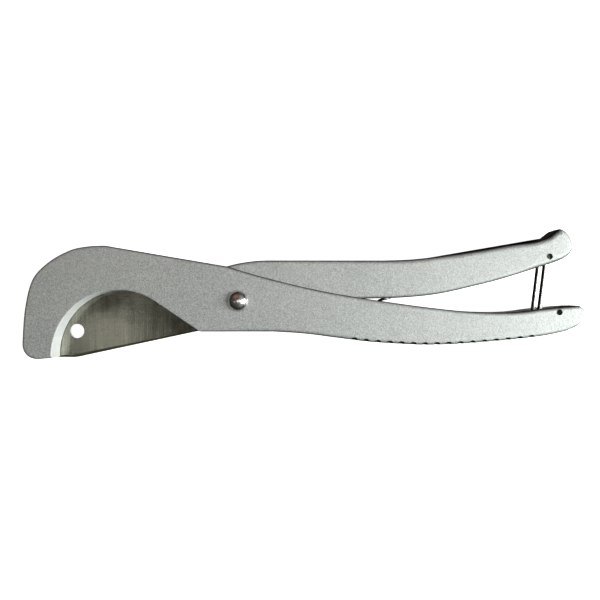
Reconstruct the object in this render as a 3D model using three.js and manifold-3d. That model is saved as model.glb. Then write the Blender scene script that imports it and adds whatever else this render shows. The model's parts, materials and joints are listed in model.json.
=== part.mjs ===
// One-hand shear cutter for plastic pipe: a die-cast jaw and lower handle in one piece, a die-cast
// lever that carries a steel blade, a compression spring between them and a wire latch at the end.
// Millimetres. The cutter lies on its back face, so +Z is the thickness and +X runs to the handles.
// Every outline below is drawn about the pivot; the last lines move the origin under the middle.

import * as THREE from 'three';
import { mergeVertices } from 'three/addons/utils/BufferGeometryUtils.js';
import Module from 'manifold-3d';

const wasm = await Module();
wasm.setup();

// ---- driving dimensions ---------------------------------------------------------------------

const THICKNESS = 16;
const MIDDLE = THICKNESS / 2;
const CHEEK = 2;               // wall of the lower handle on each side
const WEB = 2.2;               // floor of the lower handle and roof of the lever
const SIDE_GAP = 0.3;          // between the lever and each cheek
const LEVER_WALL = 1.8;
const FIT = 0.3;               // clearance round parts that touch on the real tool

const BLADE = 2;               // blade thickness
const EDGE_LAND = 0.3;         // what is left of it at the cutting edge
const EDGE_WIDTH = 3.2;        // width of the ground edge
const BLADE_OVERLAP = 3.4;     // how far the closed blade enters the jaw

const MOUTH = { x: -48, y: -21.7, r: 26, from: 182.6, to: 56 };
const UNDERSIDE = -12.4;       // straight bottom edge below the pivot
const LEVER_ROOF = 16.6;       // straight top edge of the lever
const POCKET_RADIUS = 16.4;
const TONGUE_RADIUS = 15;
const HUB_RADIUS = 12;

const SHANK_RADIUS = 3;
const BUSH_RADIUS = 4.4;
const DOME = { radius: 4.25, height: 2.7 };
const TAIL = { radius: 4.4, depth: 1.2 };
const BLADE_RIVETS = { upper: [-9.5, 3.5], lower: [-8.5, -5.5] };
const BLADE_RIVET = { radius: 2, head: 3, sink: 1, below: 0.1 };

const BLADE_HOLE = { x: -67.2, y: -12.4, r: 2.9 };

const SPRING = { x: 60, radius: 2.6, wire: 1.1, bottom: -13.9, top: 13.9, turns: 8 };
const CLOSED_PITCH = 1.08;     // rise of an end turn, in wire diameters
const PEG = { radius: 1.7, height: 3.5, seat: 3.7, foot: -16, roof: 15.5 };

const BAIL = { x: 125.4, y: 17.9, wire: 1.8, spread: 2.7, lean: 7, length: 24.7, foot: 2.8, recess: 1 };
const BAIL_HOLE = 1.25;
const BAIL_BEND = 1.3;
const HEEL_BEND = 1.5;
const LATCH_PIN = { x: 128.1, y: -4.5, r: 0.95, bore: 0.5, recess: 1.2, hole: 1.2 };

const GROOVE = { count: 16, first: 46.4, pitch: 4.72, radius: 1.9, depth: 0.75, width: 5.4 };

// ---- colours --------------------------------------------------------------------------------

const POWDER_COAT = { color: 0xb4b6b3, roughness: 0.5, metalness: 0.6 };
const BLADE_STEEL = { color: 0x9c9a88, roughness: 0.28, metalness: 1 };
const PLATED_STEEL = { color: 0xc6c2ba, roughness: 0.22, metalness: 1 };
const SPRING_WIRE = { color: 0xa8a59c, roughness: 0.35, metalness: 1 };

// ---- helpers --------------------------------------------------------------------------------

const rad = THREE.MathUtils.degToRad;
const points = (list) => list.map(([x, y]) => new THREE.Vector2(x, y));
const raised = (list, dy) => list.map(([x, y]) => [x, y + dy]);

function solid(geometry) {
  geometry.deleteAttribute('normal');
  geometry.deleteAttribute('uv');
  const merged = mergeVertices(geometry, 1e-4);
  const mesh = new wasm.Mesh({
    numProp: 3,
    vertProperties: new Float32Array(merged.attributes.position.array),
    triVerts: new Uint32Array(merged.index.array),
  });
  return new wasm.Manifold(mesh);
}

function plate(shape, low, high, curveSegments = 12) {
  const options = { depth: high - low, bevelEnabled: false, curveSegments };
  const geometry = new THREE.ExtrudeGeometry(shape, options);
  return solid(geometry.translate(0, 0, low));
}

function polygon(list) {
  return new THREE.Shape(points(list));
}

function disc(x, y, radius, low, high, segments = 48) {
  const geometry = new THREE.CylinderGeometry(radius, radius, high - low, segments);
  geometry.rotateX(Math.PI / 2);
  return solid(geometry.translate(x, y, (low + high) / 2));
}

function post(x, radius, low, high, segments = 24) {
  const geometry = new THREE.CylinderGeometry(radius, radius, high - low, segments);
  return solid(geometry.translate(x, (low + high) / 2, MIDDLE));
}

// A profile of [radius, z] pairs turned about the line through (x, y) parallel to Z.
function turned(profile, x, y, segments = 40) {
  const geometry = new THREE.LatheGeometry(points(profile), segments);
  geometry.rotateX(Math.PI / 2);
  return solid(geometry.translate(x, y, 0));
}

function wire(path, diameter, steps, sides = 10) {
  const section = new THREE.Shape();
  section.absarc(0, 0, diameter / 2, 0, 2 * Math.PI, false);
  const options = { steps, extrudePath: path, bevelEnabled: false, curveSegments: sides / 2 };
  return solid(new THREE.ExtrudeGeometry(section, options));
}

function toGeometry(body) {
  const { vertProperties, triVerts } = body.getMesh();
  const geometry = new THREE.BufferGeometry();
  geometry.setAttribute('position', new THREE.BufferAttribute(vertProperties, 3));
  geometry.setIndex(new THREE.BufferAttribute(triVerts, 1));
  geometry.computeVertexNormals();
  return geometry;
}

const tool = new THREE.Group();

function add(name, body, finish) {
  const mesh = new THREE.Mesh(toGeometry(body), new THREE.MeshStandardMaterial(finish));
  mesh.name = name;
  tool.add(mesh);
}

// ---- jaw and lower handle -------------------------------------------------------------------

const LOWER_EDGE = [
  [26.4, -13.2], [39.2, -14.8], [52, -16.4], [64.8, -17.3], [76, -17.7], [90.4, -17.2],
  [109.6, -15.6], [122.4, -14], [131, -12.2],
];
const HANDLE_END = [[136.3, -9.7], [138.4, -6.6], [138.7, -3.6], [136.6, -1.7]];
const UPPER_EDGE = [
  [123.2, -2.9], [113, -4.2], [103, -4.5], [90, -3.9], [74.4, -2.2], [59.2, -0.1],
  [46.6, 1.8], [33.2, 4.2], [20, 7.2], [6.8, 10.6], [-4.4, 14],
];
const JAW_ROUND = [[-60.5, 22], [-67.5, 20.4], [-76, 15.6], [-82.4, 8.6], [-85.4, -3.2], [-86.4, -16.4]];

function frameOutline() {
  const shape = new THREE.Shape();
  shape.absarc(MOUTH.x, MOUTH.y, MOUTH.r, rad(MOUTH.from), rad(MOUTH.to), true);
  shape.lineTo(-15.9, -12);
  shape.quadraticCurveTo(-15.3, UNDERSIDE, -14.4, UNDERSIDE);
  shape.lineTo(14, UNDERSIDE);
  shape.splineThru(points(LOWER_EDGE));
  shape.splineThru(points(HANDLE_END));
  shape.splineThru(points(UPPER_EDGE));
  shape.lineTo(-53.6, 22.4);
  shape.splineThru(points(JAW_ROUND));
  shape.bezierCurveTo(-86.7, -20.6, -84.2, -23.6, -79.8, -23.4);
  return shape;
}

// The lower handle is a trough, open upwards, with a closed end.
function handleTrough() {
  const shape = new THREE.Shape();
  shape.moveTo(9, UNDERSIDE + WEB);
  shape.lineTo(14, UNDERSIDE + WEB);
  shape.splineThru(points(raised(LOWER_EDGE, WEB)));
  shape.quadraticCurveTo(136, -8.4, 136, -5);
  shape.lineTo(136, 30);
  shape.lineTo(9, 30);
  return plate(shape, CHEEK, THICKNESS - CHEEK, 5);
}

function bladeSlot() {
  const low = MIDDLE - BLADE / 2 - FIT;
  const high = MIDDLE + BLADE / 2 + FIT;
  const reach = MOUTH.r + BLADE_OVERLAP + FIT;
  const way = polygon([
    [MOUTH.x - reach, MOUTH.y], [MOUTH.x - reach, -30], [-10, -30], [-5, 9.3], [-46, 9.3],
    [-50, MOUTH.y],
  ]);
  return disc(MOUTH.x, MOUTH.y, reach, low, high, 96).add(plate(way, low, high));
}

// Scallops across both corners of the lower edge leave a smooth rib between them.
function withGrooves(body) {
  const lower = new THREE.SplineCurve(points([[14, UNDERSIDE], ...LOWER_EDGE]));
  const samples = lower.getSpacedPoints(400);
  let cut = body;
  for (let i = 0; i < GROOVE.count; i += 1) {
    const x = GROOVE.first + i * GROOVE.pitch;
    const edge = samples.find((p) => p.x >= x);
    const y = edge.y - GROOVE.radius + GROOVE.depth;
    const back = disc(x, y, GROOVE.radius, -1, GROOVE.width, 24);
    const front = disc(x, y, GROOVE.radius, THICKNESS - GROOVE.width, THICKNESS + 1, 24);
    cut = cut.subtract(back).subtract(front);
  }
  return cut;
}

function jawFrame() {
  const shaft = SHANK_RADIUS + FIT;
  const tail = TAIL.radius + FIT;
  const pivotHole = turned([
    [0, -1], [tail, -1], [tail, 0], [shaft, TAIL.depth + FIT], [shaft, THICKNESS + 1],
    [0, THICKNESS + 1],
  ], 0, 0);
  const seat = post(SPRING.x, PEG.seat, PEG.foot, SPRING.bottom - FIT);
  const peg = post(SPRING.x, PEG.radius, PEG.foot, SPRING.bottom + PEG.height);
  const pocket = disc(0, 0, POCKET_RADIUS, CHEEK, THICKNESS - CHEEK, 96);
  const pinHole = disc(LATCH_PIN.x, LATCH_PIN.y, LATCH_PIN.hole, -1, THICKNESS + 1, 24);
  const casting = plate(frameOutline(), 0, THICKNESS, 6)
    .subtract(handleTrough())
    .subtract(pocket)
    .subtract(bladeSlot())
    .subtract(pivotHole)
    .subtract(pinHole)
    .add(seat)
    .add(peg);
  return withGrooves(casting);
}

// ---- lever ----------------------------------------------------------------------------------

const LEVER_TOP = [
  [71, 17.1], [84.7, 18.7], [96, 20.4], [110.6, 22.9], [118.1, 23.8], [122.4, 24.8],
  [125.5, 26.1], [128.1, 28.2],
];
const LEVER_END = [[130.6, 29.4], [133.8, 27], [135.5, 22.6], [134.8, 19.8], [132.1, 17.4]];
const LEVER_UNDER = [
  [127.5, 15.4], [117.1, 12.1], [104.2, 8.2], [94.9, 5.9], [84.7, 3.5], [76, 2.1],
  [65, 1.2], [54, 0.9],
];

function leverOutline() {
  const shape = new THREE.Shape();
  shape.absarc(0, 0, TONGUE_RADIUS, rad(200), rad(109), true);
  shape.quadraticCurveTo(3, 16.5, 12, LEVER_ROOF);
  shape.lineTo(58.8, LEVER_ROOF);
  shape.splineThru(points(LEVER_TOP));
  shape.splineThru(points(LEVER_END));
  shape.splineThru(points(LEVER_UNDER));
  shape.bezierCurveTo(40, 1.2, 22, -6, 11, -8);
  shape.quadraticCurveTo(6.5, -9, 4.1, -11.3);
  shape.absarc(0, 0, HUB_RADIUS, rad(-70), rad(-130), true);
  return shape;
}

// The lever is a trough too, open downwards, that sits inside the lower handle's.
function leverTrough() {
  const shape = new THREE.Shape();
  shape.moveTo(20, LEVER_ROOF - WEB);
  shape.lineTo(58.8, LEVER_ROOF - WEB);
  shape.splineThru(points(raised(LEVER_TOP.slice(0, -2), -WEB)));
  shape.quadraticCurveTo(131.5, 24.8, 132.4, 21);
  shape.lineTo(132.4, -30);
  shape.lineTo(20, -30);
  const inset = CHEEK + SIDE_GAP + LEVER_WALL;
  return plate(shape, inset, THICKNESS - inset, 5);
}

function lever() {
  const low = CHEEK + SIDE_GAP;
  const high = THICKNESS - low;
  const bladeGap = plate(
    polygon([[-20, 9.2], [10.6, 9.2], [10.6, -6.4], [4, -20], [-20, -20]]),
    MIDDLE - BLADE / 2 - FIT,
    MIDDLE + BLADE / 2 + FIT,
  );
  const seat = post(SPRING.x, PEG.seat, SPRING.top + FIT, PEG.roof);
  const peg = post(SPRING.x, PEG.radius, SPRING.top - PEG.height, PEG.roof);
  const bailHole = disc(BAIL.x, BAIL.y, BAIL_HOLE, 0, THICKNESS, 24);
  let casting = plate(leverOutline(), low, high, 6)
    .subtract(leverTrough())
    .subtract(bladeGap)
    .subtract(disc(0, 0, BUSH_RADIUS + FIT, 0, THICKNESS))
    .subtract(bailHole)
    .add(seat)
    .add(peg);
  for (const [x, y] of Object.values(BLADE_RIVETS)) {
    casting = casting.subtract(turned(bladeRivetProfile(FIT), x, y, 32));
  }
  return casting;
}

// ---- blade and its rivets -------------------------------------------------------------------

function bladeOutline() {
  const shape = new THREE.Shape();
  shape.absarc(MOUTH.x, MOUTH.y, MOUTH.r + BLADE_OVERLAP, rad(182.8), rad(72), true);
  shape.quadraticCurveTo(-26, 3.2, -14, 8.3);
  shape.quadraticCurveTo(-12.6, 8.9, -11, 8.9);
  shape.lineTo(5, 8.9);
  shape.absarc(5, 3.6, 5.3, rad(90), rad(0), true);
  shape.lineTo(10.3, -4);
  shape.quadraticCurveTo(10.3, -6.5, 7.6, -7.1);
  shape.lineTo(-66.5, -23);
  shape.quadraticCurveTo(-67.5, -23.2, -68.5, -23.2);
  return shape;
}

function blade() {
  const low = MIDDLE - BLADE / 2;
  const high = MIDDLE + BLADE / 2;
  const inner = MOUTH.r + BLADE_OVERLAP - EDGE_WIDTH;
  const beyond = 1.3;
  const outer = inner + beyond * EDGE_WIDTH;
  const fall = beyond * (BLADE - EDGE_LAND) / 2;
  const sharpened = plate(polygon([[-90, -26], [-39, -26], [-39, 20], [-90, 20]]), 0, THICKNESS);
  const grind = (face, side) => {
    const clear = face + side;
    const profile = [[inner, clear], [inner, face], [outer, face - side * fall], [outer, clear]];
    profile.push(profile[0]);
    if (side < 0) profile.reverse();
    return turned(profile, MOUTH.x, MOUTH.y, 90).intersect(sharpened);
  };
  let body = plate(bladeOutline(), low, high, 24)
    .subtract(disc(0, 0, BUSH_RADIUS + FIT, 0, THICKNESS))
    .subtract(disc(BLADE_HOLE.x, BLADE_HOLE.y, BLADE_HOLE.r, 0, THICKNESS))
    .subtract(grind(high, 1))
    .subtract(grind(low, -1));
  for (const [x, y] of Object.values(BLADE_RIVETS)) {
    body = body.subtract(disc(x, y, BLADE_RIVET.radius + FIT, 0, THICKNESS, 32));
  }
  return body;
}

// Both ends are spread into countersinks, flush with the lever's sides.
function bladeRivetProfile(gap) {
  const low = CHEEK + SIDE_GAP + BLADE_RIVET.below - gap;
  const high = THICKNESS - low;
  const shank = BLADE_RIVET.radius + gap;
  const head = BLADE_RIVET.head + gap;
  return [
    [0, low], [head, low], [shank, low + BLADE_RIVET.sink], [shank, high - BLADE_RIVET.sink],
    [head, high], [0, high],
  ];
}

// ---- pivot ----------------------------------------------------------------------------------

function pivotRivet() {
  const clear = 0.05;
  const rim = 0.3;
  const seat = THICKNESS + clear;
  const profile = [
    [0, clear], [TAIL.radius, clear], [SHANK_RADIUS, TAIL.depth], [SHANK_RADIUS, seat],
    [DOME.radius, seat],
  ];
  for (let i = 0; i <= 10; i += 1) {
    const a = (i / 10) * Math.PI / 2;
    profile.push([DOME.radius * Math.cos(a), seat + rim + (DOME.height - rim) * Math.sin(a)]);
  }
  profile[profile.length - 1][0] = 0;
  return turned(profile, 0, 0, 36);
}

function pivotBush() {
  const low = CHEEK + SIDE_GAP;
  const high = THICKNESS - low;
  const bore = SHANK_RADIUS + FIT;
  const profile = [[bore, low], [BUSH_RADIUS, low], [BUSH_RADIUS, high], [bore, high], [bore, low]];
  return turned(profile, 0, 0, 40);
}

// ---- return spring --------------------------------------------------------------------------

class Helix extends THREE.Curve {
  getPoint(t, target = new THREE.Vector3()) {
    const turn = t * SPRING.turns;
    const closed = SPRING.wire * CLOSED_PITCH;
    const low = SPRING.bottom + SPRING.wire / 2;
    const high = SPRING.top - SPRING.wire / 2;
    const open = (high - low - 2 * closed) / (SPRING.turns - 2);
    const first = Math.min(turn, 1) * closed;
    const last = Math.max(turn - SPRING.turns + 1, 0) * closed;
    const between = THREE.MathUtils.clamp(turn - 1, 0, SPRING.turns - 2) * open;
    const angle = (turn + 0.5) * 2 * Math.PI;
    return target.set(
      SPRING.x + SPRING.radius * Math.cos(angle),
      low + first + between + last,
      MIDDLE - SPRING.radius * Math.sin(angle),
    );
  }
}

// ---- wire latch -----------------------------------------------------------------------------

// Points are [across, along, z]: along runs down the leg, across points to the handle's end.
function bailPath() {
  const turn = new THREE.Matrix4().makeRotationZ(rad(-BAIL.lean));
  const at = (across, along, z) => new THREE.Vector3(across, -along, z)
    .applyMatrix4(turn)
    .add(new THREE.Vector3(BAIL.x, BAIL.y, 0));
  const front = MIDDLE + BAIL.spread;
  const tip = THICKNESS - CHEEK - SIDE_GAP - BAIL.recess;
  const { length, foot } = BAIL;
  const half = (side) => {
    const z = (value) => MIDDLE + side * (value - MIDDLE);
    return [
      new THREE.LineCurve3(at(0, 0, z(tip)), at(0, 0, z(front + BAIL_BEND))),
      new THREE.QuadraticBezierCurve3(
        at(0, 0, z(front + BAIL_BEND)), at(0, 0, z(front)), at(0, BAIL_BEND, z(front))),
      new THREE.LineCurve3(at(0, BAIL_BEND, z(front)), at(0, length - HEEL_BEND, z(front))),
      new THREE.QuadraticBezierCurve3(
        at(0, length - HEEL_BEND, z(front)), at(0, length, z(front)), at(HEEL_BEND, length, z(front))),
      new THREE.QuadraticBezierCurve3(
        at(HEEL_BEND, length, z(front)), at(foot, length, z(front)),
        at(foot, length, z(front - BAIL_BEND))),
      new THREE.LineCurve3(at(foot, length, z(front - BAIL_BEND)), at(foot, length, MIDDLE)),
    ];
  };
  const path = new THREE.CurvePath();
  half(1).forEach((curve) => path.add(curve));
  half(-1).reverse().forEach((curve) => path.add(reversed(curve)));
  return path;
}

function reversed(curve) {
  if (curve.isLineCurve3) return new THREE.LineCurve3(curve.v2, curve.v1);
  return new THREE.QuadraticBezierCurve3(curve.v2, curve.v1, curve.v0);
}

// A rolled pin, split along its length, held a little below both cheeks.
function latchPin() {
  const { x, y, r, bore, recess } = LATCH_PIN;
  const split = rad(18);
  const shape = new THREE.Shape();
  shape.absarc(x, y, r, split, 2 * Math.PI - split, false);
  shape.absarc(x, y, bore, 2 * Math.PI - split, split, true);
  return plate(shape, recess, THICKNESS - recess, 12);
}

// ---- the assembly ---------------------------------------------------------------------------

add('jaw_frame', jawFrame(), POWDER_COAT);
add('lever', lever(), POWDER_COAT);
add('blade', blade(), BLADE_STEEL);
for (const [place, [x, y]] of Object.entries(BLADE_RIVETS)) {
  add(`blade_rivet_${place}`, turned(bladeRivetProfile(0), x, y, 32), PLATED_STEEL);
}
add('pivot_rivet', pivotRivet(), PLATED_STEEL);
add('pivot_bush', pivotBush(), PLATED_STEEL);
add('return_spring', wire(new Helix(), SPRING.wire, SPRING.turns * 16, 8), SPRING_WIRE);
add('latch_bail', wire(bailPath(), BAIL.wire, 104, 8), SPRING_WIRE);
add('latch_pin', latchPin(), PLATED_STEEL);

const box = new THREE.Box3().setFromObject(tool);
const centre = box.getCenter(new THREE.Vector3());
tool.position.set(-centre.x, -centre.y, 0);

const part = new THREE.Group();
part.add(tool);

export default part;
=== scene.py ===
"""A hand shear for plastic pipe, lying on its back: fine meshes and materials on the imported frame.

Outlines are in millimetres about the pivot, x towards the handle ends and y towards the lever.
"""

import json
import math

import bpy
import numpy as np
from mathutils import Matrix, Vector


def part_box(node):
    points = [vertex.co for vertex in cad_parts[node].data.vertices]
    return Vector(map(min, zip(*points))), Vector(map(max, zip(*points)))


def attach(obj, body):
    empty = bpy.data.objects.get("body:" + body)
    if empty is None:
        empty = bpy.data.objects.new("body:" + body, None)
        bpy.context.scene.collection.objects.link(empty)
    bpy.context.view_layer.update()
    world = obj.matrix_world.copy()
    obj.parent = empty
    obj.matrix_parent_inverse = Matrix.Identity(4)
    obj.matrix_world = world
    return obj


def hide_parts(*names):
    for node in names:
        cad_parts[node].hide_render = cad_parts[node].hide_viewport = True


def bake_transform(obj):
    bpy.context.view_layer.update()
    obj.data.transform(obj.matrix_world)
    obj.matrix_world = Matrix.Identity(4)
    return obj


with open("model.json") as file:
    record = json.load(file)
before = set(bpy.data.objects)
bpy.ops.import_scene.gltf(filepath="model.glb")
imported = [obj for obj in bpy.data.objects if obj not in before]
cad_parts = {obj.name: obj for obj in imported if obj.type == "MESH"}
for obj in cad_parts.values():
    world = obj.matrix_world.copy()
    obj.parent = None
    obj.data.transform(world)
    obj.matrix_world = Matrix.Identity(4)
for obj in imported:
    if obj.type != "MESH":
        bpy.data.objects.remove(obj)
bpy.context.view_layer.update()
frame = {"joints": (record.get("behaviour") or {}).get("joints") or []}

# ---- sizes, in millimetres -------------------------------------------------------------------

MM = 0.001
JOINTS = {joint["name"]: joint for joint in frame["joints"]}
PIVOT = Vector(JOINTS["lever_hinge"]["pos_m"]) / MM
BAIL_PIVOT = Vector(JOINTS["bail_hinge"]["pos_m"]) / MM - PIVOT


def span(node):
    """A node's lowest and highest corner in millimetres, from the pivot in x and y."""
    low, high = (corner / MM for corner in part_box(node))
    shift = Vector((PIVOT.x, PIVOT.y, 0))
    return low - shift, high - shift


BACK, FRONT = (corner.z for corner in span("jaw_frame"))
MIDDLE = (BACK + FRONT) / 2
LEVER_LOW, LEVER_HIGH = (corner.z for corner in span("lever"))
BLADE_LOW, BLADE_HIGH = (corner.z for corner in span("blade"))
CHEEK = 2
WEB = 2.2
LEVER_WALL = 1.8
FIT = 0.3

OUTER_ROUND = 1.45
ROOF_ROUND = 2.1       # along the lever's top, round its hook and round its end
MOUTH_ROUND = 0.5
MOUTH_RELIEF = (2.4, 5)  # width and height of the chamfer round the mouth at the back
RIDGE = 0.07           # height of the parting line that the casting dies leave
RIDGE_FOOT, RIDGE_TOP = 0.16, 0.07  # half the parting line's height, at its foot and its top
DRAFT = 0.012          # how far the sides lean in, per millimetre from the parting line
RIM_BLEND = 6          # passes that even out a change of rounding along an outline
SAME_POINT = 0.02      # outline points nearer to each other than this are one

MOUTH = {"x": -48, "y": -21.7, "r": 26, "start": 182.6, "end": 56}
POCKET_RADIUS = 16.4
TONGUE_RADIUS = 15
HUB_RADIUS = 12
WAIST = -12.4          # the frame's lower edge under the pivot
ROOF, ROOF_END = 16.6, 58.8  # the lever's straight top edge, and where it starts to curve
BLADE_OVERLAP = 3.4
BLADE_CHAMFER = 0.2
SPINE_BEVEL = 1.1      # how much wider the chamfer gets along the back of the blade
EDGE_LAND = 0.3
EDGE_WIDTH = 3.2       # width of the ground edge
SPINE_START, SPINE_END, SPINE_STEPS = (7.6, -7.1), (-66.5, -23), 30
BLADE_HOLE = (-67.2, -12.4, 2.9)
HOLE_FLARE = 0.6       # how much larger its radius is at the back

SHANK_RADIUS = 3
BUSH_RADIUS = 4.4
DOME_RADIUS = 4.25
TAIL_RADIUS, TAIL_DEPTH = 4.4, 1.2
BLADE_RIVETS = {"blade_rivet_upper": (-9.5, 3.5), "blade_rivet_lower": (-8.5, -5.5)}
RIVET_SHANK, RIVET_HEAD, RIVET_SINK = 2, 3, 1

SPRING_X, SPRING_RADIUS, SPRING_WIRE, SPRING_TURNS = 60, 2.6, 1.1, 8
SPRING_BOTTOM, SPRING_TOP = -13.9, 13.9
PEG_RADIUS, PEG_HEIGHT, PEG_SEAT = 1.7, 3.5, 3.7
PEG_FLOOR, PEG_ROOF = -16, 15.5  # where pegs and seats end inside the castings' walls

BAIL_WIRE, BAIL_SPREAD, BAIL_LEAN, BAIL_LENGTH, BAIL_FOOT = 1.8, 2.7, 7, 24.7, 2.8
BAIL_HOLE, BAIL_BEND, HEEL_BEND, BAIL_RECESS = 1.25, 1.3, 1.5, 1
PIN, PIN_RADIUS, PIN_BORE, PIN_HOLE = (128.1, -4.5), 0.95, 0.5, 1.2

LOWER_EDGE = [
    (26.4, -13.2), (39.2, -14.8), (52, -16.4), (64.8, -17.3), (76, -17.7), (90.4, -17.2),
    (109.6, -15.6), (122.4, -14), (131, -12.2),
]
HANDLE_END = [(136.3, -9.7), (138.4, -6.6), (138.7, -3.6), (136.6, -1.7)]
UPPER_EDGE = [
    (123.2, -2.9), (113, -4.2), (103, -4.5), (90, -3.9), (74.4, -2.2), (59.2, -0.1),
    (46.6, 1.8), (33.2, 4.2), (20, 7.2), (6.8, 10.6), (-4.4, 14),
]
JAW_ROUND = [(-60.5, 22), (-67.5, 20.4), (-76, 15.6), (-82.4, 8.6), (-85.4, -3.2), (-86.4, -16.4)]
LEVER_TOP = [
    (71, 17.1), (84.7, 18.7), (96, 20.4), (110.6, 22.9), (118.1, 23.8), (122.4, 24.8),
    (125.5, 26), (128.1, 28),
]
LEVER_END = [(130.6, 29.4), (133.8, 27), (135.5, 22.6), (134.8, 19.8), (132.1, 17.4)]
LEVER_UNDER = [
    (127.5, 15.4), (117.1, 12.1), (104.2, 8.2), (94.9, 5.9), (84.7, 3.5), (76, 2.1),
    (65, 1.2), (54, 0.9),
]
GROOVE = {"count": 16, "first": 46.4, "pitch": 4.72, "radius": 1.9, "depth": 1.35, "width": 4}

WALL_TILT, WALL_BAND = 0.8, 0.3  # how upright and how near a face of the mouth's wall is

COAT_DARK, COAT_LIGHT = (0.42, 0.43, 0.42), (0.74, 0.755, 0.74)
# Painted shade: the coat's colour on its upright sides and, near black, on its rounded rims.
COAT_SIDE_PAINTED_SHADE, COAT_RIM_PAINTED_SHADE = (0.3, 0.305, 0.3), (0.04, 0.04, 0.036)
# Painted shade: the near-black colour down the flanks of the wires.
WIRE_FLANK_PAINTED_SHADE = (0.07, 0.068, 0.06)


# ---- outlines --------------------------------------------------------------------------------


class Outline:
    """A closed outline drawn piece by piece; each point carries the rounding of its rims."""

    def __init__(self, rounding=0.0):
        self.points = []
        self.rounding = rounding

    def _add(self, x, y):
        self.points.append((x, y, self.rounding))

    def line(self, x, y):
        self._add(x, y)
        return self

    def arc(self, x, y, radius, start, end, steps=48):
        for i in range(steps + 1):
            angle = math.radians(start + (end - start) * i / steps)
            self._add(x + radius * math.cos(angle), y + radius * math.sin(angle))
        return self

    def curve(self, *controls, steps=10):
        """A Bezier curve of any degree from the last point."""
        start = np.array(self.points[-1][:2])
        for i in range(1, steps + 1):
            level = [start, *(np.array(c, float) for c in controls)]
            while len(level) > 1:
                level = [a + (b - a) * i / steps for a, b in zip(level, level[1:])]
            self._add(*level[0])
        return self

    def spline(self, points, steps=9):
        """A Catmull-Rom curve from the last point through these."""
        p = [np.array(q, float) for q in [self.points[-1][:2], *points]]
        for i in range(len(p) - 1):
            before, after = p[max(i - 1, 0)], p[min(i + 2, len(p) - 1)]
            v0, v1 = (p[i + 1] - before) / 2, (after - p[i]) / 2
            for k in range(1, steps + 1):
                t = k / steps
                a = 2 * p[i] - 2 * p[i + 1] + v0 + v1
                b = -3 * p[i] + 3 * p[i + 1] - 2 * v0 - v1
                self._add(*(((a * t + b) * t + v0) * t + p[i]))
        return self

    def rounded(self, rounding):
        self.rounding = rounding
        return self

    def loop(self):
        """The points and their rounding as arrays, anticlockwise, with no point twice."""
        raw = np.array(self.points)
        gap = np.linalg.norm(raw[:, :2] - np.roll(raw[:, :2], 1, axis=0), axis=1)
        raw = raw[gap > SAME_POINT]
        x, y = raw[:, 0], raw[:, 1]
        if np.sum(x * np.roll(y, -1) - np.roll(x, -1) * y) < 0:
            raw = raw[::-1]
        radii = raw[:, 2]
        for _ in range(RIM_BLEND):
            radii = (np.roll(radii, 1) + 2 * radii + np.roll(radii, -1)) / 4
        return raw[:, :2], radii


def inward(xy):
    """For each point, the step that moves both of its edges in by one millimetre."""
    edge = np.roll(xy, -1, axis=0) - xy
    edge /= np.linalg.norm(edge, axis=1)[:, None]
    normal = np.stack([-edge[:, 1], edge[:, 0]], axis=1)
    before = np.roll(normal, 1, axis=0)
    cosine = np.sum(normal * before, axis=1)
    return (normal + before) / (1 + cosine)[:, None]


# ---- solids ----------------------------------------------------------------------------------


def mesh_object(name, points, faces):
    """A new object from points in millimetres about the pivot."""
    moved = (np.asarray(points, float) + [PIVOT.x, PIVOT.y, 0]) * MM
    mesh = bpy.data.meshes.new(name)
    mesh.from_pydata(moved.tolist(), [], faces)
    mesh.validate()
    obj = bpy.data.objects.new(name, mesh)
    bpy.context.scene.collection.objects.link(obj)
    return obj


def stack(name, rings, closed=False):
    """A solid through rings of equal count, capped at both ends or joined back on itself."""
    count = len(rings[0])
    levels = len(rings)
    faces = []
    for level in range(levels if closed else levels - 1):
        low, high = level * count, (level + 1) % levels * count
        for i in range(count):
            j = (i + 1) % count
            faces.append((low + i, low + j, high + j, high + i))
    if not closed:
        faces.append(tuple(reversed(range(count))))
        faces.append(tuple(range((levels - 1) * count, levels * count)))
    return mesh_object(name, np.concatenate(rings), faces)


def prism(outline, low, high):
    xy = outline.loop()[0]
    rings = [np.column_stack([xy, np.full(len(xy), z)]) for z in (low, high)]
    return stack("cutter", rings)


def cast_plate(name, outline, low, high, segments=6):
    """A plate with rounded rims, sides that lean in a little, and a parting line half way up."""
    xy, radius = outline.loop()
    step = inward(xy)
    middle = (low + high) / 2
    tall = np.ones(len(xy))
    half = []              # inset and height above the face, from one face to the parting line
    for k in range(segments + 1):
        angle = k / segments * math.pi / 2
        height = radius * (1 - math.cos(angle))
        lean = DRAFT * (middle - low - height)
        half.append((RIDGE + lean + radius * (1 - math.sin(angle)), height))
    half.append((RIDGE * tall, (middle - low - RIDGE_FOOT) * tall))
    half.append((0 * tall, (middle - low - RIDGE_TOP) * tall))
    levels = [(inset, low + height) for inset, height in half]
    levels += [(inset, high - height) for inset, height in reversed(half)]
    rings = [np.column_stack([xy + step * inset[:, None], z]) for inset, z in levels]
    return stack(name, rings)


def turned(name, profile, x=0.0, y=0.0, segments=48, closed=False):
    """A solid of revolution about the line through (x, y) along z; profile is (radius, z) pairs."""
    angles = np.arange(segments) / segments * 2 * math.pi
    around = np.column_stack([np.cos(angles), np.sin(angles)])
    rings = []
    for radius, z in profile:
        rings.append(np.column_stack([around * max(radius, 1e-3) + [x, y], np.full(segments, z)]))
    return stack(name, rings, closed)


def disc(x, y, radius, low, high, segments=48):
    return turned("cutter", [(radius, low), (radius, high)], x, y, segments)


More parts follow.
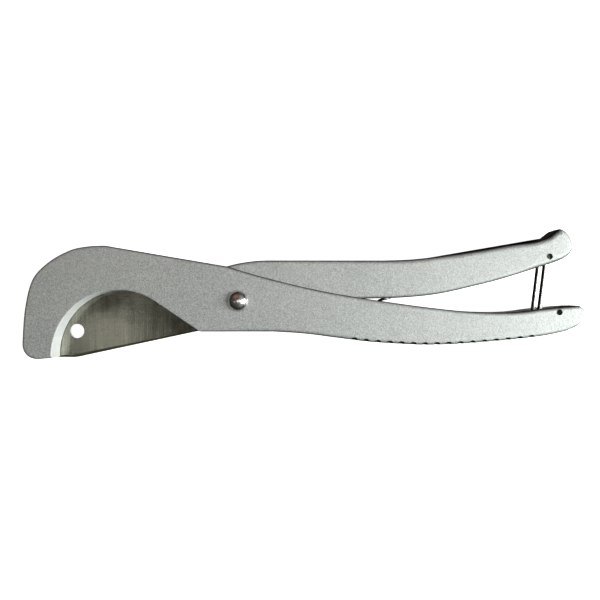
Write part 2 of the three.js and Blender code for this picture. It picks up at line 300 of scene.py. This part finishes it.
def tube(name, line, radius, sides=14, chamfer=0.2):
    """A round wire along a line of points, with a small chamfer at both ends."""
    line = np.asarray(line, float)
    apart = np.linalg.norm(np.diff(line, axis=0), axis=1) > 1e-3
    line = line[np.append(True, apart)]
    along = np.gradient(line, axis=0)
    along /= np.linalg.norm(along, axis=1)[:, None]
    side = np.cross(along[0], [0.3, 0.2, 0.9])
    angles = np.arange(sides) / sides * 2 * math.pi
    rings = []
    for i, (point, way) in enumerate(zip(line, along)):
        side = side - way * (side @ way)
        side /= np.linalg.norm(side)
        other = np.cross(way, side)
        ring = np.cos(angles)[:, None] * side + np.sin(angles)[:, None] * other
        if i == 0:
            rings.append(point + ring * (radius - chamfer))
            point = point + way * chamfer
        if i == len(line) - 1:
            rings.append(point - way * chamfer + ring * radius)
            rings.append(point + ring * (radius - chamfer))
            continue
        rings.append(point + ring * radius)
    return stack(name, rings)


def post(radius, start, end):
    """A peg or a seat for the spring, standing along y."""
    ends = [(SPRING_X, start, MIDDLE), (SPRING_X, end, MIDDLE)]
    return tube("post", ends, radius, 40)


def boolean(obj, other, operation="DIFFERENCE"):
    modifier = obj.modifiers.new("cut", "BOOLEAN")
    modifier.operation = operation
    modifier.solver = "MANIFOLD"
    modifier.object = other
    fix(obj)
    bpy.data.objects.remove(other)


def fix(obj):
    """Applies the object's modifiers."""
    evaluated = obj.evaluated_get(bpy.context.evaluated_depsgraph_get())
    mesh = bpy.data.meshes.new_from_object(evaluated)
    obj.modifiers.clear()
    obj.data = mesh


def smooth(obj, angle=32):
    """Smooth shading that keeps flat faces flat and edges sharper than angle sharp."""
    obj.data.shade_smooth()
    obj.data.set_sharp_from_angle(angle=math.radians(angle))
    weighted = obj.modifiers.new("flat faces stay flat", "WEIGHTED_NORMAL")
    weighted.keep_sharp = True
    weighted.weight = 100
    fix(obj)


def place(obj, body, slot, *nodes):
    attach(obj, body)
    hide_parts(*nodes)


# ---- jaw and lower handle --------------------------------------------------------------------


def frame_outline():
    path = Outline(MOUTH_ROUND)
    path.arc(MOUTH["x"], MOUTH["y"], MOUTH["r"], MOUTH["start"], MOUTH["end"], steps=64)
    path.line(-15.9, -12).curve((-15.3, WAIST), (-14.4, WAIST), steps=5)
    path.rounded(OUTER_ROUND)
    for x in (-8, 0, 8, 14):
        path.line(x, WAIST)
    path.spline(LOWER_EDGE).spline(HANDLE_END).spline(UPPER_EDGE)
    path.line(-53.6, 22.4).spline(JAW_ROUND)
    path.curve((-86.7, -20.6), (-84.2, -23.6), (-79.8, -23.4))
    return path


def raised(points, dy):
    return [(x, y + dy) for x, y in points]


def handle_trough():
    path = Outline().line(9, WAIST + WEB).line(14, WAIST + WEB)
    path.spline(raised(LOWER_EDGE, WEB), 5)
    path.curve((136, -8.4), (136, -5)).line(136, 30).line(9, 30)
    return prism(path, BACK + CHEEK, FRONT - CHEEK)


def blade_slot(obj):
    low, high = BLADE_LOW - FIT, BLADE_HIGH + FIT
    reach = MOUTH["r"] + BLADE_OVERLAP + FIT
    way = Outline()
    for x, y in [(MOUTH["x"] - reach, MOUTH["y"]), (MOUTH["x"] - reach, -30), (-10, -30),
                 (-5, 9.3), (-46, 9.3), (-50, MOUTH["y"])]:
        way.line(x, y)
    boolean(obj, disc(MOUTH["x"], MOUTH["y"], reach, low, high, 128))
    boolean(obj, prism(way, low, high))


def cut_grooves(obj):
    """Scallops across both corners of the lower edge, which leave a smooth rib between them."""
    lower = Outline().line(14, WAIST).spline(LOWER_EDGE, 40)
    edge = np.array(lower.points)
    for i in range(GROOVE["count"]):
        x = GROOVE["first"] + i * GROOVE["pitch"]
        y = np.interp(x, edge[:, 0], edge[:, 1]) - GROOVE["radius"] + GROOVE["depth"]
        radius, width = GROOVE["radius"], GROOVE["width"]
        for face, side in ((BACK, 1), (FRONT, -1)):
            profile = [(radius, face - side), (radius, face), (0, face + side * width)]
            boolean(obj, turned("cutter", profile[::side], x, y, 40))


def relieve_mouth(obj):
    """A chamfer round the mouth at the back."""
    wide, tall = MOUTH_RELIEF
    cone = [(MOUTH["r"] + wide, BACK - 1), (MOUTH["r"] + wide, BACK), (MOUTH["r"], BACK + tall)]
    boolean(obj, turned("cutter", cone, MOUTH["x"], MOUTH["y"], 256))


def jaw_and_handle():
    obj = cast_plate("jaw_and_handle", frame_outline(), BACK, FRONT)
    relieve_mouth(obj)
    boolean(obj, handle_trough())
    boolean(obj, disc(0, 0, POCKET_RADIUS, BACK + CHEEK, FRONT - CHEEK, 120))
    blade_slot(obj)
    shaft, tail = SHANK_RADIUS + FIT, TAIL_RADIUS + FIT
    hole = [(tail, BACK - 1), (tail, BACK), (shaft, TAIL_DEPTH + FIT), (shaft, FRONT + 1)]
    boolean(obj, turned("cutter", hole))
    boolean(obj, disc(PIN[0], PIN[1], PIN_HOLE, BACK - 1, FRONT + 1, 32))
    boolean(obj, post(PEG_SEAT, PEG_FLOOR, SPRING_BOTTOM - FIT), "UNION")
    boolean(obj, post(PEG_RADIUS, PEG_FLOOR, SPRING_BOTTOM + PEG_HEIGHT), "UNION")
    cut_grooves(obj)
    smooth(obj)
    return obj


# ---- lever -----------------------------------------------------------------------------------


def lever_outline():
    path = Outline(OUTER_ROUND)
    path.arc(0, 0, TONGUE_RADIUS, 200, 109)
    path.curve((3, 16.5), (12, ROOF)).line(35, ROOF).rounded(ROOF_ROUND).line(45, ROOF)
    path.line(ROOF_END, ROOF).spline(LEVER_TOP + LEVER_END + LEVER_UNDER[:2])
    path.rounded(OUTER_ROUND).spline(LEVER_UNDER[2:])
    path.curve((40, 1.2), (22, -6), (11, -8), steps=16).curve((6.5, -9), (4.1, -11.3))
    path.arc(0, 0, HUB_RADIUS, -70, -130, steps=16)
    return path


def lever_trough():
    path = Outline().line(20, ROOF - WEB).line(ROOF_END, ROOF - WEB)
    path.spline(raised(LEVER_TOP[:-3], -WEB), 5).curve((131.5, 24.8), (132.4, 21))
    path.line(132.4, -30).line(20, -30)
    return prism(path, LEVER_LOW + LEVER_WALL, LEVER_HIGH - LEVER_WALL)


def tang_slot():
    path = Outline()
    for x, y in [(-20, 9.2), (10.6, 9.2), (10.6, -6.4), (4, -20), (-20, -20)]:
        path.line(x, y)
    return prism(path, BLADE_LOW - FIT, BLADE_HIGH + FIT)


def lever_casting():
    obj = cast_plate("lever_casting", lever_outline(), LEVER_LOW, LEVER_HIGH)
    boolean(obj, lever_trough())
    boolean(obj, tang_slot())
    boolean(obj, disc(0, 0, BUSH_RADIUS + FIT, BACK, FRONT))
    boolean(obj, disc(BAIL_PIVOT.x, BAIL_PIVOT.y, BAIL_HOLE, BACK, FRONT, 32))
    for node, (x, y) in BLADE_RIVETS.items():
        boolean(obj, turned("cutter", rivet_profile(node, FIT), x, y))
    boolean(obj, post(PEG_SEAT, SPRING_TOP + FIT, PEG_ROOF), "UNION")
    boolean(obj, post(PEG_RADIUS, SPRING_TOP - PEG_HEIGHT, PEG_ROOF), "UNION")
    smooth(obj)
    return obj


# ---- blade and small steel pieces --------------------------------------------------------------


def blade_outline():
    path = Outline(BLADE_CHAMFER)
    path.arc(MOUTH["x"], MOUTH["y"], MOUTH["r"] + BLADE_OVERLAP, 182.8, 72, steps=96)
    path.curve((-26, 3.2), (-14, 8.3), steps=14).curve((-12.6, 8.9), (-11, 8.9), steps=5)
    path.line(5, 8.9).arc(5, 3.6, 5.3, 90, 0, steps=10).line(10.3, -4)
    path.curve((10.3, -6.5), SPINE_START, steps=6)
    (x, y), (end_x, end_y) = SPINE_START, SPINE_END
    for step in range(1, SPINE_STEPS):
        share = step / SPINE_STEPS
        path.rounded(BLADE_CHAMFER + SPINE_BEVEL * share)
        path.line(x + (end_x - x) * share, y + (end_y - y) * share)
    path.line(*SPINE_END).curve((-67.5, -23.2), (-68.5, -23.2), steps=4)
    return path


def grind(obj, face, side):
    """Grinds one face down towards the cutting arc."""
    beyond = 1.3           # the slope runs on past the edge, so that the wheel clears it
    inner = MOUTH["r"] + BLADE_OVERLAP - EDGE_WIDTH
    outer = inner + beyond * EDGE_WIDTH
    fall = beyond * (BLADE_HIGH - BLADE_LOW - EDGE_LAND) / 2
    clear = face + side
    profile = [(inner, clear), (inner, face), (outer, face - side * fall), (outer, clear)]
    wheel = turned("cutter", profile[::side], MOUTH["x"], MOUTH["y"], 256, closed=True)
    reach = Outline()
    for x, y in [(-90, -26), (-39, -26), (-39, 20), (-90, 20)]:
        reach.line(x, y)
    boolean(wheel, prism(reach, BACK, FRONT), "INTERSECT")
    boolean(obj, wheel)


def blade():
    xy, chamfer = blade_outline().loop()
    step = inward(xy)
    none = np.zeros(len(xy))
    levels = [
        (chamfer, BLADE_LOW), (none, BLADE_LOW + BLADE_CHAMFER),
        (none, BLADE_HIGH - BLADE_CHAMFER), (chamfer, BLADE_HIGH),
    ]
    rings = []
    for inset, z in levels:
        rings.append(np.column_stack([xy + step * inset[:, None], np.full(len(xy), z)]))
    obj = stack("blade_plate", rings)
    x, y, radius = BLADE_HOLE
    wide = radius + HOLE_FLARE
    punched = [
        (wide, BLADE_LOW - 1), (wide, BLADE_LOW), (radius, BLADE_HIGH), (radius, BLADE_HIGH + 1),
    ]
    boolean(obj, turned("cutter", punched, x, y, 64))
    boolean(obj, disc(0, 0, BUSH_RADIUS + FIT, BACK, FRONT))
    for x, y in BLADE_RIVETS.values():
        boolean(obj, disc(x, y, RIVET_SHANK + FIT, BACK, FRONT, 32))
    grind(obj, BLADE_HIGH, 1)
    grind(obj, BLADE_LOW, -1)
    smooth(obj, 8)
    return obj


def rivet_profile(node, gap):
    """Both ends are spread into countersinks, flush with the lever's sides."""
    low, high = (corner.z for corner in span(node))
    shank, head = RIVET_SHANK + gap, RIVET_HEAD + gap
    return [
        (head, low - gap), (shank, low - gap + RIVET_SINK), (shank, high + gap - RIVET_SINK),
        (head, high + gap),
    ]


def blade_rivet(node):
    obj = turned(node + "_steel", rivet_profile(node, 0), *BLADE_RIVETS[node])
    smooth(obj)
    return obj


def pivot_rivet():
    """A domed head in front, with a short upright rim, and a tail spread flush at the back."""
    low, high = (corner.z for corner in span("pivot_rivet"))
    gap, edge, rim, steps = 0.05, 0.12, 0.14, 16
    seat = FRONT + gap
    profile = [
        (TAIL_RADIUS - 0.5, low), (TAIL_RADIUS - 0.15, low + 0.02), (TAIL_RADIUS, low + edge),
        (SHANK_RADIUS, TAIL_DEPTH), (SHANK_RADIUS, seat), (DOME_RADIUS - edge, seat),
        (DOME_RADIUS, seat + edge),
    ]
    rise = high - seat - rim
    sphere = (DOME_RADIUS ** 2 + rise ** 2) / (2 * rise)
    widest = math.asin(DOME_RADIUS / sphere)
    for i in range(steps + 1):
        angle = widest * (1 - i / steps)
        profile.append((sphere * math.sin(angle), high - sphere * (1 - math.cos(angle))))
    obj = turned("domed_pivot_rivet", profile, segments=96)
    smooth(obj, 40)
    return obj


def bush():
    low, high = (corner.z for corner in span("pivot_bush"))
    obj = disc(0, 0, BUSH_RADIUS, low, high, 64)
    boolean(obj, disc(0, 0, SHANK_RADIUS + 0.1, low - 1, high + 1, 64))
    obj.name = "pivot_sleeve"
    smooth(obj)
    return obj


def spring():
    """Closed end turns and even turns between them, from the frame's peg to the lever's."""
    steps = 30             # for each turn
    closed = SPRING_WIRE * 1.08
    low, high = SPRING_BOTTOM + SPRING_WIRE / 2, SPRING_TOP - SPRING_WIRE / 2
    even = (high - low - 2 * closed) / (SPRING_TURNS - 2)
    line = []
    for i in range(SPRING_TURNS * steps + 1):
        turn = i / steps
        rise = min(turn, 1) * closed + max(turn - SPRING_TURNS + 1, 0) * closed
        rise += min(max(turn - 1, 0), SPRING_TURNS - 2) * even
        angle = (turn + 0.5) * 2 * math.pi
        line.append((
            SPRING_X + SPRING_RADIUS * math.cos(angle), low + rise,
            MIDDLE - SPRING_RADIUS * math.sin(angle),
        ))
    obj = tube("coil_spring", line, SPRING_WIRE / 2, 14)
    smooth(obj, 50)
    return obj


def bail():
    """The wire latch: a leg down each side, turned towards the handle's end and joined there."""
    leg_steps, bend_steps = 12, 8
    lean = math.radians(BAIL_LEAN)
    tip = LEVER_HIGH - BAIL_RECESS
    front = MIDDLE + BAIL_SPREAD
    half = [
        ((0, 0, tip), None), ((0, 0, front), BAIL_BEND), ((0, BAIL_LENGTH, front), HEEL_BEND),
        ((BAIL_FOOT, BAIL_LENGTH, front), BAIL_BEND),
    ]
    mirrored = [((x, y, 2 * MIDDLE - z), bend) for (x, y, z), bend in reversed(half)]
    corners = half + mirrored
    line = []
    for i, (corner, bend) in enumerate(corners):
        corner = np.array(corner, float)
        if bend is None:
            line.append(corner)
            continue
        before = np.array(corners[i - 1][0], float) - corner
        after = np.array(corners[i + 1][0], float) - corner
        a = corner + before / np.linalg.norm(before) * bend
        b = corner + after / np.linalg.norm(after) * bend
        start = line[-1]
        for k in range(1, leg_steps):
            line.append(start + (a - start) * k / leg_steps)
        for k in range(bend_steps + 1):
            t = k / bend_steps
            line.append((1 - t) ** 2 * a + 2 * t * (1 - t) * corner + t * t * b)
    across = np.array([math.cos(lean), -math.sin(lean), 0])
    along = np.array([-math.sin(lean), -math.cos(lean), 0])
    centre = np.array([BAIL_PIVOT.x, BAIL_PIVOT.y, 0])
    points = [centre + across * x + along * y + [0, 0, z] for x, y, z in line]
    obj = tube("wire_bail", points, BAIL_WIRE / 2, 18)
    smooth(obj, 50)
    return obj


def pin():
    """A rolled pin, split along its length, a little below both cheeks."""
    low, high = (corner.z for corner in span("latch_pin"))
    split = 18
    path = Outline()
    path.arc(PIN[0], PIN[1], PIN_RADIUS, split, 360 - split, 40)
    path.arc(PIN[0], PIN[1], PIN_BORE, 360 - split, split, 30)
    obj = prism(path, low, high)
    obj.name = "rolled_pin"
    smooth(obj)
    return obj


# ---- finishes --------------------------------------------------------------------------------


class Finish:
    """A procedural material, built node by node on coordinates that go with the piece."""

    def __init__(self, name):
        self.material = bpy.data.materials.new(name)
        self.material.use_nodes = True
        self.tree = self.material.node_tree
        self.shader = self.tree.nodes["Principled BSDF"]
        coordinates = self.node("ShaderNodeTexCoord").outputs
        self.place, self.normal = coordinates["Object"], coordinates["Normal"]

    def node(self, kind, values=None, **settings):
        made = self.tree.nodes.new(kind)
        for key, value in settings.items():
            setattr(made, key, value)
        for key, value in (values or {}).items():
            self.feed(made.inputs[key], value)
        return made

    def feed(self, socket, value):
        if isinstance(value, bpy.types.NodeSocket):
            self.tree.links.new(value, socket)
        else:
            socket.default_value = value

    def noise(self, scale, detail=2.0, rough=0.5, stretch=(1, 1, 1), turn=0.0):
        values = {"Vector": self.place, "Scale": stretch, "Rotation": (0, 0, turn)}
        moved = self.node("ShaderNodeMapping", values).outputs["Vector"]
        values = {"Vector": moved, "Scale": scale, "Detail": detail, "Roughness": rough}
        return self.node("ShaderNodeTexNoise", values).outputs["Fac"]

    def cells(self, scale):
        """A random value for each small cell."""
        values = {"Vector": self.place, "Scale": scale}
        colour = self.node("ShaderNodeTexVoronoi", values).outputs["Color"]
        return self.node("ShaderNodeSeparateColor", {"Color": colour}).outputs["Red"]

    def between(self, factor, low, high, start=0.0, end=1.0):
        """A value that runs from low to high as factor runs from start to end."""
        values = {"Value": factor, "From Min": start, "From Max": end}
        values.update({"To Min": low, "To Max": high})
        return self.node("ShaderNodeMapRange", values).outputs["Result"]

    def facing(self):
        """1 on the flat faces, 0 on the flanks between them."""
        split = self.node("ShaderNodeSeparateXYZ", {"Vector": self.normal})
        return self.node("ShaderNodeMath", {0: split.outputs["Z"]}, operation="ABSOLUTE").outputs[0]

    def colour(self, factor, low, high):
        """A colour that runs from low to high as factor runs from 0 to 1."""
        made = self.node("ShaderNodeMix", data_type="RGBA")
        sockets = {s.name: s for s in made.inputs if s.enabled}
        for key, value in (("Factor", factor), ("A", low), ("B", high)):
            self.feed(sockets[key], (*value, 1) if isinstance(value, tuple) else value)
        return next(s for s in made.outputs if s.enabled)

    def add(self, a, b, share=0.5):
        """A blend of two values."""
        made = self.node("ShaderNodeMix", data_type="FLOAT")
        sockets = {s.name: s for s in made.inputs if s.enabled}
        for key, value in (("Factor", share), ("A", a), ("B", b)):
            self.feed(sockets[key], value)
        return next(s for s in made.outputs if s.enabled)

    def bump(self, height, distance, strength=1.0, under=None):
        values = {"Height": height, "Distance": distance, "Strength": strength}
        if under:
            values["Normal"] = under
        return self.node("ShaderNodeBump", values).outputs["Normal"]

    def finish(self, **values):
        for key, value in values.items():
            self.feed(self.shader.inputs[key.replace("_", " ")], value)
        return self.material


def casting_coat():
    """Silver powder coat over a die casting: a hammered grain, with painted shade on its sides and
    near-black painted shade round its rims.
    """
    f = Finish("silver_powder_coat_painted_rim_shade")
    grain = f.noise(1700, 2.5, 0.6)
    flakes = f.cells(3000)
    clouds = f.noise(30, 3)
    speckle = f.add(grain, flakes, 0.4)
    shade = f.add(speckle, clouds, 0.18)
    colour = f.colour(f.between(shade, 0, 1, 0.3, 0.7), COAT_DARK, COAT_LIGHT)
    # Painted shade: upright sides and rounded rims go dark by how far they turn from the flat faces.
    rim = f.colour(f.between(f.facing(), 0, 1, 0.03, 0.13), COAT_SIDE_PAINTED_SHADE, COAT_RIM_PAINTED_SHADE)
    colour = f.colour(f.between(f.facing(), 0, 1, 0.5, 0.9), rim, colour)
    normal = f.bump(grain, 0.00035, 0.32)
    normal = f.bump(f.noise(190, 1), 0.0003, 0.25, normal)
    return f.finish(
        Base_Color=colour, Metallic=0.3, Roughness=f.between(flakes, 0.42, 0.6), Normal=normal
    )


def bare_metal_and_painted_light():
    """The machined wall of the mouth: bare metal with fine marks of the cutter along z. Its
    near-white colour, given also to the blade's hole wall, is partly painted light.
    """
    f = Finish("bare_machined_metal_and_painted_light")
    marks = f.noise(1, 2, 0.6, (900, 900, 60))
    colour = f.colour(marks, (0.86, 0.88, 0.86), (0.98, 0.99, 0.98))
    rough = f.between(marks, 0.4, 0.55)
    return f.finish(
        Base_Color=colour, Metallic=0.1, Roughness=rough, Normal=f.bump(marks, 0.00005, 0.5)
    )


def blade_steel():
    """Ground steel: fine lines across the blade, smudges and a few scratches along it."""
    f = Finish("ground_blade_steel")
    lines = f.noise(1, 3, 0.6, (2400, 35, 35), 0.05)
    broad = f.noise(1, 2, 0.5, (300, 14, 14), -0.12)
    smudge = f.noise(55, 4, 0.6)
    scratch = f.noise(1, 2, 0.5, (60, 2600, 60), 0.22)
    marks = f.add(f.add(lines, broad, 0.35), scratch, 0.18)
    shade = f.between(f.add(smudge, marks, 0.35), 0, 1, 0.38, 0.62)
    colour = f.colour(shade, (0.12, 0.115, 0.085), (0.50, 0.495, 0.42))
    rough = f.between(smudge, 0.12, 0.28, 0.3, 0.7)
    return f.finish(
        Base_Color=colour, Metallic=0.94, Roughness=rough, Normal=f.bump(marks, 0.00006, 0.6)
    )


def plated_steel():
    """Nickel plate with faint stains and scratches."""
    f = Finish("plated_steel")
    stain = f.noise(420, 3, 0.6)
    scratch = f.noise(1, 2, 0.5, (5200, 500, 500), 0.7)
    colour = f.colour(stain, (0.66, 0.63, 0.60), (0.86, 0.85, 0.84))
    rough = f.between(f.add(stain, scratch, 0.4), 0.17, 0.32, 0.3, 0.7)
    return f.finish(
        Base_Color=colour, Metallic=1.0, Roughness=rough, Normal=f.bump(scratch, 0.00002, 0.4)
    )


def dark_steel_and_painted_shade():
    """Dark oiled steel of the rolled pin, also on the bail's wire ends; on both, set back in their
    holes, its near-black colour is painted shade.
    """
    f = Finish("dark_pin_steel_and_painted_shade")
    stain = f.noise(900, 3, 0.6)
    colour = f.colour(stain, (0.03, 0.03, 0.03), (0.11, 0.105, 0.10))
    return f.finish(Base_Color=colour, Metallic=0.8, Roughness=f.between(stain, 0.35, 0.55))


def drawn_wire():
    """Bright drawn wire with streaks along it, and near-black painted shade down its flanks."""
    f = Finish("drawn_spring_wire_painted_flank_shade")
    streak = f.noise(1, 3, 0.6, (6000, 420, 6000), 0.12)
    stain = f.noise(260, 3)
    colour = f.colour(f.add(streak, stain), (0.50, 0.49, 0.46), (0.82, 0.81, 0.78))
    # Painted shade: the wire goes near black where its surface turns away from the flat.
    colour = f.colour(f.between(f.facing(), 0, 1, 0.8, 0.97), WIRE_FLANK_PAINTED_SHADE, colour)
    rough = f.between(stain, 0.18, 0.36, 0.3, 0.7)
    return f.finish(
        Base_Color=colour, Metallic=1.0, Roughness=rough, Normal=f.bump(streak, 0.00004, 0.5)
    )


coat, steel, plate, wire = casting_coat(), blade_steel(), plated_steel(), drawn_wire()
dark, bare_and_painted_light = dark_steel_and_painted_shade(), bare_metal_and_painted_light()

# ---- assembly --------------------------------------------------------------------------------


def dress(obj, finish, second=None, where=None):
    """Gives a piece its finish, and a second one to the faces that where(centre, normal) picks."""
    obj.data.materials.clear()
    obj.data.materials.append(finish)
    if second:
        obj.data.materials.append(second)
        for face in obj.data.polygons:
            centre = face.center / MM - Vector((PIVOT.x, PIVOT.y, 0))
            face.material_index = int(where(centre, face.normal))
    return obj


def on_mouth_wall(centre, normal):
    reach = math.hypot(centre.x - MOUTH["x"], centre.y - MOUTH["y"])
    return reach < MOUTH["r"] + WALL_BAND and abs(normal.z) < WALL_TILT


def on_hole_wall(centre, normal):
    reach = math.hypot(centre.x - BLADE_HOLE[0], centre.y - BLADE_HOLE[1])
    return reach < BLADE_HOLE[2] + HOLE_FLARE and abs(normal.z) < WALL_TILT


def on_wire_end(centre, normal):
    end = LEVER_HIGH - BAIL_RECESS - MIDDLE
    return abs(normal.z) > 0.99 and abs(centre.z - MIDDLE) > end - 0.01


# The mouth's wall gets near-white bare metal, partly painted light.
jaw = dress(jaw_and_handle(), coat, bare_and_painted_light, on_mouth_wall)
place(jaw, "frame", "powder_coated_casting", "jaw_frame")
place(dress(lever_casting(), coat), "lever", "powder_coated_casting", "lever")
# The blade's hole wall gets the same near-white bare metal, partly painted light.
place(dress(blade(), steel, bare_and_painted_light, on_hole_wall), "lever", "blade_steel", "blade")
place(dress(pivot_rivet(), plate), "frame", "plated_steel", "pivot_rivet")
place(dress(bush(), plate), "frame", "plated_steel", "pivot_bush")
# The rolled pin's near-black colour is painted shade in its hole.
place(dress(pin(), dark), "frame", "plated_steel", "latch_pin")
for node in BLADE_RIVETS:
    place(dress(blade_rivet(node), plate), "lever", "plated_steel", node)
# The bail's wire ends, set back in the lever's holes, get the near-black steel as painted shade.
place(dress(bail(), wire, dark, on_wire_end), "bail", "spring_wire", "latch_bail")

coil = dress(spring(), wire)
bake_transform(coil)
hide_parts("return_spring")

# ---- floor, light and camera -------------------------------------------------------------------


def studio_floor():
    half, sunk = 3, 0.00005
    mesh = bpy.data.meshes.new("floor")
    corners = [(-half, -half, 0), (half, -half, 0), (half, half, 0), (-half, half, 0)]
    mesh.from_pydata(corners, [], [(0, 1, 2, 3)])
    floor = bpy.data.objects.new("floor", mesh)
    floor.location.z = -sunk
    bpy.context.scene.collection.objects.link(floor)
    f = Finish("white_paper")
    shade = f.colour(f.noise(4, 3), (0.86, 0.86, 0.86), (0.9, 0.9, 0.9))
    f.finish(Base_Color=shade, Roughness=0.9, Emission_Color=shade, Emission_Strength=1.1)
    floor.data.materials.append(f.material)
    floor.visible_glossy = False
    floor.visible_diffuse = False


def softbox(name, location, target, size, power, colour):
    data = bpy.data.lights.new(name, "AREA")
    data.shape = "RECTANGLE"
    data.size, data.size_y = size
    data.energy = power
    data.color = colour
    light = bpy.data.objects.new(name, data)
    light.location = location
    away = Vector(location) - Vector(target)
    light.rotation_euler = away.to_track_quat("Z", "Y").to_euler()
    bpy.context.scene.collection.objects.link(light)


def surroundings(horizon, overhead, right, left):
    """A dim room: dark towards the horizon, lighter to the right and warmer to the left."""
    world = bpy.data.worlds.new("room")
    bpy.context.scene.world = world
    world.use_nodes = True
    nodes, links = world.node_tree.nodes, world.node_tree.links
    way = nodes.new("ShaderNodeTexCoord")
    split = nodes.new("ShaderNodeSeparateXYZ")
    links.new(way.outputs["Generated"], split.inputs["Vector"])

    def blend(axis, start, end, first, second):
        ramp = nodes.new("ShaderNodeMapRange")
        ramp.interpolation_type = "SMOOTHSTEP"
        ramp.inputs["From Min"].default_value = start
        ramp.inputs["From Max"].default_value = end
        links.new(split.outputs[axis], ramp.inputs["Value"])
        mixed = nodes.new("ShaderNodeMix")
        mixed.data_type = "RGBA"
        links.new(ramp.outputs["Result"], mixed.inputs["Factor"])
        sockets = [socket for socket in mixed.inputs if socket.enabled][1:]
        for socket, colour in zip(sockets, (first, second)):
            if isinstance(colour, tuple):
                socket.default_value = (*colour, 1)
            else:
                links.new(colour, socket)
        return next(socket for socket in mixed.outputs if socket.enabled)

    above = blend("X", -0.5, 0.0, left, overhead)
    above = blend("X", 0.0, 0.6, above, right)
    whole = blend("Z", 0.15, 0.6, horizon, above)
    links.new(whole, nodes["Background"].inputs["Color"])


def photograph():
    data = bpy.data.cameras.new("camera")
    camera = bpy.data.objects.new("camera", data)
    bpy.context.scene.collection.objects.link(camera)
    bpy.context.scene.camera = camera
    camera.location = (-0.00142, -0.00261, 0.202)
    data.lens = 28.05
    data.sensor_width = 36
    data.clip_start = 0.01


studio_floor()
softbox("key", (0.56, -0.07, 0.44), (0, 0, 0), (0.34, 0.42), 3.8, (0.94, 1.0, 0.975))
softbox("low", (0.62, 0.0, 0.21), (0, 0, 0), (0.2, 0.16), 1.75, (0.97, 1.0, 0.99))
softbox("strip", (0.1, -0.01, 0.45), (0.1, -0.01, 0), (0.34, 0.08), 0.2, (1.0, 1.0, 0.98))
softbox("spot", (-0.236, -0.047, 0.4), (-0.078, -0.017, 0), (0.05, 0.05), 0.014, (1.0, 1.0, 0.96))
softbox("warm", (-0.16, 0.265, 0.27), (-0.026, 0, 0), (0.26, 0.26), 0.05, (1.0, 0.3, 0.18))
surroundings((0.01, 0.01, 0.01), (0.075, 0.075, 0.065), (0.3, 0.31, 0.31), (0.055, 0.052, 0.04))
photograph()
bpy.context.scene.view_settings.view_transform = "Standard"
